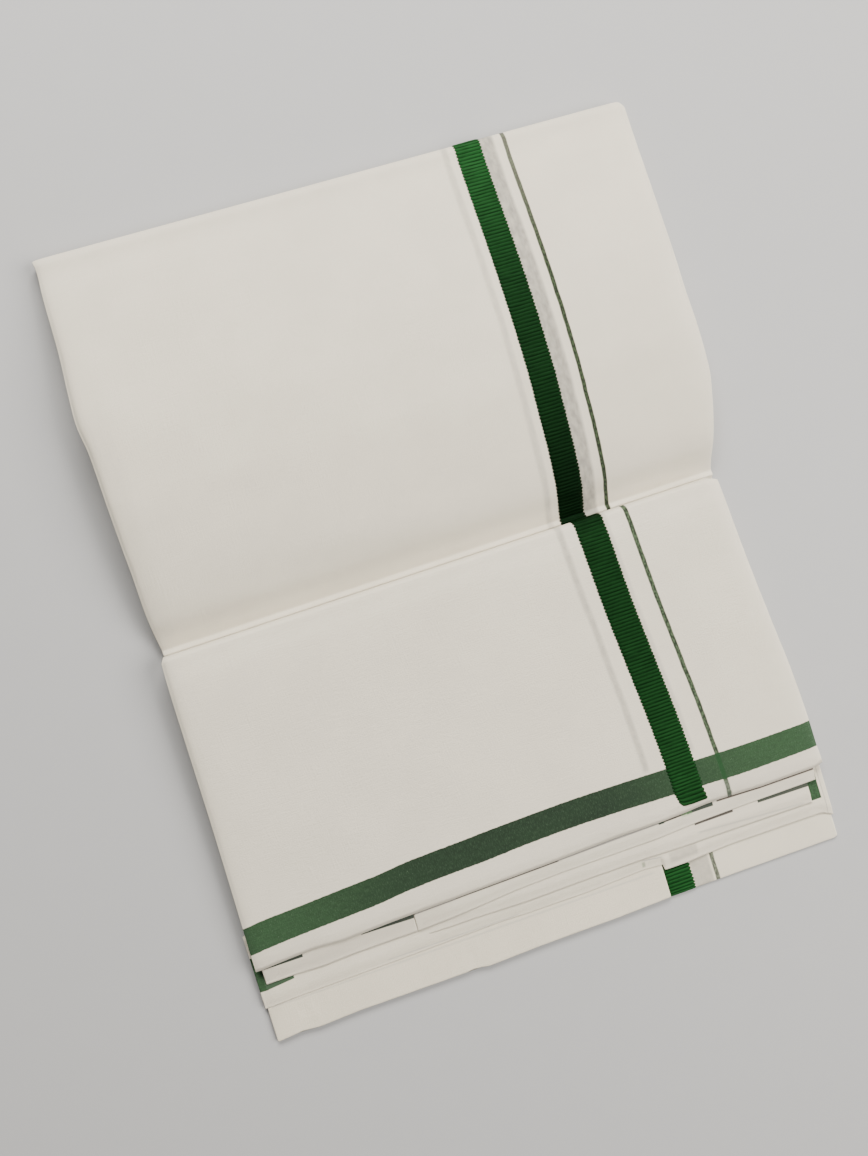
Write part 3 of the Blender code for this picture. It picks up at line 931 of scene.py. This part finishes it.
# The stepped leaves under the first cut end
leafStart = -146.0
leaves = {
    "secondLeafLeft": {
        "node": "second_leaf_left", "level": 4, "tint": (0.985, 0.98, 0.975),
        "outline": ((-157.2, -173.6), (-143.0, -173.7), (-128.0, -174.9), (-110.0, -174.4), (-75.55, -175.0)),
        "droop": 1.35,
    },
    "secondLeafRight": {
        "node": "second_leaf_right", "level": 4, "tint": (0.985, 0.985, 0.975),
        "outline": (
            (-75.45, -175), (-60, -174.8), (-49, -174), (-20, -172.2), (6, -171.8),
            (60, -172.8), (84.7, -172.3), (122, -172.4), (151, -172.8), (157.6, -172.8),
        ),
        "creases": ((79.3, -164.0, 81.9, -173.4, 0.7, 0.55),),
        "droop": 1.0,
    },
    "thirdLeaf": {
        "node": "third_leaf", "level": 3, "tint": (0.98, 0.975, 0.965),
        "outline": (
            (-150, -166), (-104, -167), (-90, -178.4), (-45, -179.3), (-29, -180),
            (-15, -180.6), (20, -180.7), (52, -181.2), (80, -182.6), (152.6, -184.2),
        ),
    },
    "fourthLeaf": {
        "node": "fourth_leaf", "level": 2, "tint": (0.985, 0.98, 0.965),
        "outline": (
            (-161.6, -186.6), (-144, -186.1), (-89, -186.4), (-62, -186.3), (-31, -186.2),
            (-17, -186.9), (18, -187.5), (49.5, -186.7), (60.9, -187.6), (61.5, -190.8),
            (75, -191.2), (100, -190.4), (124, -190.8), (157, -191.4), (163.2, -194.6),
        ),
    },
    "fifthLeaf": {
        "node": "fifth_leaf", "level": 1, "cut": False, "tint": (0.985, 0.975, 0.945),
        "outline": (
            (-160.6, -205.4), (-147, -204.3), (-138, -205.3), (-117, -204.6), (-78, -205.1),
            (-58, -205.3), (-53.5, -204.9), (-49.7, -205.3), (-45, -206.2), (-15, -205.6),
            (30, -205.8), (60.5, -205.2),
        ),
        "creases": (
            (-145.5, -187.5, -140.6, -202, 1, -0.65), (-142, -189, -137.6, -203, 1.6, 0.25),
            (-51.4, -186, -53.7, -203, 1.2, -0.45),
        ),
    },
    "bottomLeaf": {
        "node": "bottom_leaf", "level": 0, "cut": False, "tint": (0.975, 0.975, 0.955),
        "outline": (
            (-160.2, -204.4), (-60, -204.4), (40, -205.2), (118, -205.8), (160.4, -206.2),
            (162.3, -205.3),
        ),
    },
}
leafRow = {
    "step": 2.2,
    "endStep": 1.1,
    "columnStep": 3.2,
    "edgeColumns": (0.4, 1.0, 2.0, 4.0),
    "gap": 0.3,
    "evenUntil": 2.0,  # the rows bend to the outline from here
    "endDrop": 6.0,
    "cutThickness": 0.38,
    "press": 0.27,  # the cut ends lie pressed on the leaf beneath
    "foldReach": 0.7,
}
# Where the third leaf thins out and ends, the second one sinks on to the fourth.
drape = {
    "thirdLoss": 1.05,
    "across": (-48.0, -66.0),
    "along": (-163.5, -171.0),
    "thirdSink": 0.45,
    "sinkAcross": (-62.0, -76.0),
    "sinkAlong": (-165.0, -172.0),
}


def leafSurface(settings):
    # Where a stepped leaf is: x across, t from its start, depth 0 on top and 1 underneath.
    outline = Table("x end", *settings["outline"])
    ends = [row[1] for row in outline.rows]
    shallow, deep = max(ends) + leafRow["evenUntil"], min(ends)
    straight, length = leafStart - shallow, leafStart - deep
    level = settings["level"]

    def surface(x, t, depth=0.0, raised=0.0):
        reach = leafStart - outline.straight("end", x)
        along = leafStart - t
        if t > straight:
            along = leafStart - straight - (reach - straight) * (t - straight) / (length - straight)
        height = pitch.at("height", along)
        top = (level + 1) * height - leafRow["gap"]
        bottom = level * height
        droop = ramp(x, *drape["across"]) * ramp(along, *drape["along"])
        if level == 3:
            top -= drape["thirdLoss"] * droop
        if settings.get("cut", True):
            ending = ramp(leafStart - along, reach - leafRow["endDrop"], reach)
            top -= max(0.0, top - bottom - leafRow["cutThickness"]) * ending
            top -= leafRow["press"] * ending
            bottom -= leafRow["press"] * ending
        low = sag(x, along) if level >= 2 else 0.0
        low += settings.get("droop", 0.0) * droop
        if level == 3:
            low += drape["thirdSink"] * ramp(x, *drape["sinkAcross"]) * ramp(along, *drape["sinkAlong"])
        lift = creaseHeight(settings.get("creases", ()), x, along)
        z = top + (bottom - top) * depth + raised + lift * (1.0 - depth)
        return inModel(x, along, (z - low) * settle(x, along, nearHalf))

    return surface, straight, length


def makeLeaf(name, settings, finish):
    surface, straight, length = leafSurface(settings)
    outline = settings["outline"]
    first, last = outline[0][0] + sideRound, outline[-1][0] - sideRound
    corners = [row[0] for row in outline[1:-1]]
    columns = spread(first, last, leafRow["columnStep"], leafRow["edgeColumns"], corners)
    count = max(2, round(straight / leafRow["step"]))
    rows = [(straight * i / count, 0.0) for i in range(count)]
    count = max(3, round((length - straight) / leafRow["endStep"]))
    rows += [(straight + (length - straight) * i / count, 0.0) for i in range(count + 1)]
    if not settings.get("cut", True):
        # a folded end closes on itself in a half round
        rows += [(length, math.radians(a)) for a in (25, 50, 70, 84, 90)]

    def place(stop, row):
        t, turn = row
        depth = 0.5 + (stop[1] - 0.5) * math.cos(turn)
        aside = stop[2] * sideRound * math.cos(turn)
        ahead = leafRow["foldReach"] * math.sin(turn)
        return surface(stop[0], t, depth) + Vector((aside * mm, -ahead * mm, 0.0))

    def weaveMap(stop, row):
        return (stop[0] * mm, surface(stop[0], row[0]).y - creaseAt[1] * mm)

    leaf = wrapLeaf(name, columns, rows, place, {"weave": weaveMap}, finish, settings["node"])
    return leaf, surface, length


crisp = 0.12  # mm, how soft a sliver's edge is


def bandOrShadowSliver(x0, x1, edge0, edge1, tone):
    # A thin dark strip down to an edge from y edge0 to y edge1. Grey ones are painted shadow in the gap under
    # a cut end; green ones are a band peeping out below the cut end above, darkened by painted shade.
    def paint(cloth, colour):
        edge = (cloth.u - x0) * ((edge1 - edge0) / (x1 - x0)) + edge0
        mask = cloth.u.span(x0, x1, crisp) * (cloth.v - edge).rise(-crisp, crisp)
        return cloth.mix(mask, colour, tone)
    return paint


def faintLine(x0, y0, x1, y1, half, strength, tone=(0.4, 0.39, 0.36, 1.0)):
    # A soft line where an edge beneath shows through.
    def paint(cloth, colour):
        off = cloth.v - ((cloth.u - x0) * ((y1 - y0) / (x1 - x0)) + y0)
        mask = off.line(0.0, half, half) * cloth.u.span(x0, x1, 1.5)
        return cloth.mix(mask * strength, colour, tone)
    return paint


def softPatch(x0, x1, y0, y1, soft, strength, tone):
    def paint(cloth, colour):
        patchy = 0.6 + 0.6 * cloth.noise(300.0, detail=2.0)
        mask = cloth.u.span(x0, x1, soft) * cloth.v.span(y0, y1, soft) * patchy
        return cloth.mix(mask * strength, colour, tone)
    return paint


def bandPatch(x0, x1, y0, y1):
    # A stretch of the second cross band, with its pale specks.
    def paint(cloth, colour):
        specks = cloth.noise(1200.0, (0.5, 1.0), 2.0)
        green = cloth.mix(0.5 + 0.7 * specks.rise(0.3, 0.75), greens["bandDark"], greens["bandLight"])
        return cloth.mix(cloth.u.span(x0, x1, 0.1) * cloth.v.span(y0, y1, 0.15), colour, green)
    return paint


def thinLineOn(line):
    return lambda cloth, colour: paintThinLine(cloth, colour, line)


shadowGreen = (0.04, 0.052, 0.04, 1.0)
leafMarks = {
    "secondLeafLeft": (
        # the leaf's band peeping out below the lower panel's cut end, darkened by painted shade
        bandOrShadowSliver(-157, -135.4, -166.65, -167.1, shadowGreen),
        bandOrShadowSliver(-104, -75.6, -166.55, -167.7, shadowGreen),
    ),
    "secondLeafRight": (
        # painted shadow in the gap under the lower panel's cut end; the green slivers are the band peeping
        # out in painted shade
        bandOrShadowSliver(-75.3, -52, -166.1, -165.9, (0.3, 0.28, 0.25, 1.0)),
        bandOrShadowSliver(-52, 6, -165.7, -165.1, (0.1, 0.09, 0.08, 1.0)),
        bandOrShadowSliver(6, 64.5, -164.9, -164.4, (0.34, 0.32, 0.29, 1.0)),
        bandOrShadowSliver(66.5, 81, -164.55, -164.55, (0.07, 0.06, 0.05, 1.0)),
        bandOrShadowSliver(64, 67.4, -164.9, -164.9, shadowGreen),
        bandOrShadowSliver(81, 96.6, -164.9, -165.2, shadowGreen),
        bandOrShadowSliver(99, 126, -163.9, -164.95, (0.1, 0.08, 0.07, 1.0)),
        bandOrShadowSliver(126, 160.5, -164.95, -165.1, (0.1, 0.08, 0.07, 1.0)),
        softPatch(77.6, 84, -165.6, -163, 0.6, 0.45, (0.16, 0.32, 0.13, 1.0)),
    ),
    "thirdLeaf": (
        # painted shadow in the gaps under the second leaves' cut ends; the last is a band peeping out in
        # painted shade
        bandOrShadowSliver(-75.4, -50, -175.75, -174.55, (0.05, 0.05, 0.04, 1.0)),
        bandOrShadowSliver(84, 107, -172.65, -172.75, (0.08, 0.07, 0.06, 1.0)),
        bandOrShadowSliver(122, 152.6, -172.75, -173.45, (0.05, 0.06, 0.045, 1.0)),
        faintLine(85, -177.1, 148, -181.9, 0.5, 0.45),
    ),
    "fourthLeaf": (
        bandPatch(-162, -157, -178.4, -160),
        bandOrShadowSliver(-158, -143, -178.3, -177.0, (0.045, 0.085, 0.045, 1.0)),
        bandPatch(152.4, 158.7, -182.4, -160),
        softPatch(160.1, 160.6, -192.5, -164, 0.25, 0.45, (0.22, 0.21, 0.19, 1.0)),
        softPatch(65.5, 82, -188, -182.2, 1.2, 0.4, ghost["grey"]),
        faintLine(50.5, -181.4, 61, -183, 0.3, 0.75),
        softPatch(49.8, 51.6, -185.2, -182.2, 0.5, 0.6, (0.12, 0.2, 0.1, 1.0)),
        faintLine(-95, -185, -22, -186, 0.35, 0.45),
    ),
    "fifthLeaf": (
        faintLine(-158, -188, 55, -190, 0.5, 0.35),
    ),
    "bottomLeaf": (
        softPatch(75.8, 86.8, -208, -184, 0.7, 0.5, ghost["grey"]),
        thinLineOn({"middle": 89.2, "half": 1.15, "strength": 0.95, "tone": (0.075, 0.088, 0.06, 1.0)}),
    ),
}
leafPieces = {}
for name, settings in leaves.items():
    finish = plainCotton(name + "Cotton", settings["tint"], leafMarks[name])
    leafPieces[name], leafTop, leafLength = makeLeaf(name, settings, finish)
    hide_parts(settings["node"])

# tone: the bottom stripe's silk is darkened evenly by the painted shade, to this share of its colour
bottomBorder = {"x": 68.1, "from": 36.0, "past": 1.3, "half": 7.8, "tone": 0.86, "turnLength": 0.9}
bottomTop, bottomLength = leafTop, leafLength  # the bottom leaf is the last one made


def roundTheFold(aside, t, raised):
    # The stripe follows the bottom leaf and turns round its fold.
    turn = min(math.pi / 2, max(0.0, t - bottomLength) / bottomBorder["turnLength"])
    depth = 0.5 - 0.5 * math.cos(turn)
    spot = bottomTop(bottomBorder["x"] + aside, min(t, bottomLength), depth, raised * math.cos(turn))
    return spot - Vector((0.0, (leafRow["foldReach"] + raised) * math.sin(turn) * mm, 0.0))


bottomStripe = makeStripe(
    "bottomStripe", "bottom_leaf", roundTheFold, bottomBorder["from"], bottomLength + bottomBorder["past"],
    greenSilk, lambda t: bottomBorder["tone"], half=bottomBorder["half"],
)
print("stepped leaves")

# The hidden layers: five folded leaves, each with two folds at its sides
layers = {
    "levels": 5,
    "gap": 0.22,
    "seat": 0.55,
    "floorGap": 0.02,
    "panelWall": 1.2,
    "rowStep": 3.0,
    "columns": 26,
    "inset": 1.3,
    "insetStep": (0.0, 0.25, 0.1, 0.7, 0.4),  # from the lowest leaf up
    "wave": 0.9,
    "foldDepth": 1.5,
    "foldSpare": 1.8,
    "noseReach": 0.8,
    "creaseFrom": -0.9,  # the near half starts here
    "creaseUntil": -7.0,
    "creaseHeights": (4.6, 17.2),
    "noseEnds": (206.0, 208.0, 209.6, 209.4, 207.0),
    "nearEnd": -146.3,
    "tint": (0.97, 0.965, 0.95),
}


def layerEdge(level, fold, side, along):
    # How far inside the panel's edge a fold of a hidden leaf lies.
    seed = 2.1 * level + 0.9 * fold + (3.7 if side > 0 else 0.0)
    slow = math.sin(along / 41.0 + 2.3 * seed) + 0.6 * math.sin(along / 17.0 - seed)
    wave = layers["wave"] * slow / 1.6 * ramp(along, -146.0, -120.0)
    return layers["inset"] + layers["insetStep"][level] + wave + 0.25 * fold


def makeHiddenLayers():
    joined = bmesh.new()
    joined.loops.layers.uv.new("weave")
    mesh = bpy.data.meshes.new("layerPart")
    for level in range(layers["levels"]):
        nose = layers["noseEnds"][level]
        count = round((nose - layers["nearEnd"]) / layers["rowStep"])
        rows = [(nose, math.radians(a)) for a in (90, 80, 62, 40, 18)]
        start, stop = nose - layers["noseReach"], layers["nearEnd"]
        rows += [(start - (start - stop) * i / count, 0.0) for i in range(count + 1)]
        loop = layerLoop()
        bm, placed = gridShape(len(loop), len(rows))
        markSurface(bm, placed, {"weave": lambda i, j: (loop[i][0] * 0.32, rows[j][0] * mm)})
        for vert, (i, j) in placed.items():
            vert.co = layerPlace(level, loop[i], *rows[j])
        bmesh.ops.remove_doubles(bm, verts=bm.verts, dist=weldWithin)
        bmesh.ops.holes_fill(bm, edges=[e for e in bm.edges if e.is_boundary], sides=0)
        turnOutwards(bm)
        bm.to_mesh(mesh)
        bm.free()
        joined.from_mesh(mesh)
        mesh.clear_geometry()
    finish = plainCotton("layerCotton", layers["tint"])
    piece = makePiece("hiddenLayers", joined, finish, "hidden_layers")
    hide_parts("hidden_layers")
    return piece


def layerLoop():
    # Once round a hidden leaf: (share across, height share, fold, how far it stands out)
    top = [i / layers["columns"] for i in range(layers["columns"] + 1)]
    folds = []
    for fold, middle in ((0, 0.75), (1, 0.25)):
        for a in (80, 50, 20, -20, -50, -80):
            folds.append((middle + 0.25 * math.sin(math.radians(a)), fold, math.cos(math.radians(a))))
    loop = [(share, 1.0, 0, 0.0) for share in top]
    loop += [(1.0, height, fold, out) for height, fold, out in folds]
    loop += [(share, 0.0, 0, 0.0) for share in reversed(top[::2])]
    loop += [(0.0, height, fold, out) for height, fold, out in reversed(folds)]
    return loop + [loop[0]]


def layerPlace(level, stop, along, turn):
    share, heightShare, fold, out = stop
    half = farHalf if along > layers["creaseFrom"] else nearHalf
    crown = half.at("crown", along)
    rise = (half.at("crown", along + 1.0) - half.at("crown", along - 1.0)) / 2.0
    if half is nearHalf:
        start, full = layers["creaseHeights"]
        crown = min(crown, start + (full - start) * ramp(along, layers["creaseFrom"], layers["creaseUntil"]))
    top = crown - layers["panelWall"] * math.hypot(1.0, rise) - layers["seat"]
    thick = top / layers["levels"]
    low = level * thick + (layers["floorGap"] if level == 0 else layers["gap"] / 2)
    high = (level + 1) * thick - layers["gap"] / 2
    left, right = half.at("left", along), half.at("right", along)
    side = 1 if share > 0.5 else -1
    if share in (0.0, 1.0):
        inset = layerEdge(level, fold, side, along) + layers["foldDepth"] * (1.0 - out)
        x = (right if side > 0 else left) - side * inset
    else:
        inner = layers["inset"] + layers["foldDepth"] + layers["foldSpare"]
        x = left + inner + share * (right - left - 2 * inner)
    z = low + (high - low) * (0.5 + (heightShare - 0.5) * math.cos(turn))
    keep = settle(min(max(x, left + 2.0), right - 2.0), along, half)
    return inModel(x, along - layers["noseReach"] * (1.0 - math.sin(turn)), z * keep)


hiddenLayers = makeHiddenLayers()
print("hidden layers")

for name, piece in leafPieces.items():
    outline = leaves[name]["outline"]
    wide = outline[-1][0] - outline[0][0]
    deep = sum(leafStart - row[1] for row in outline) / len(outline)
    2 * wide * mm
    deep * mm
    [bottomStripe] if name == "bottomLeaf" else ()
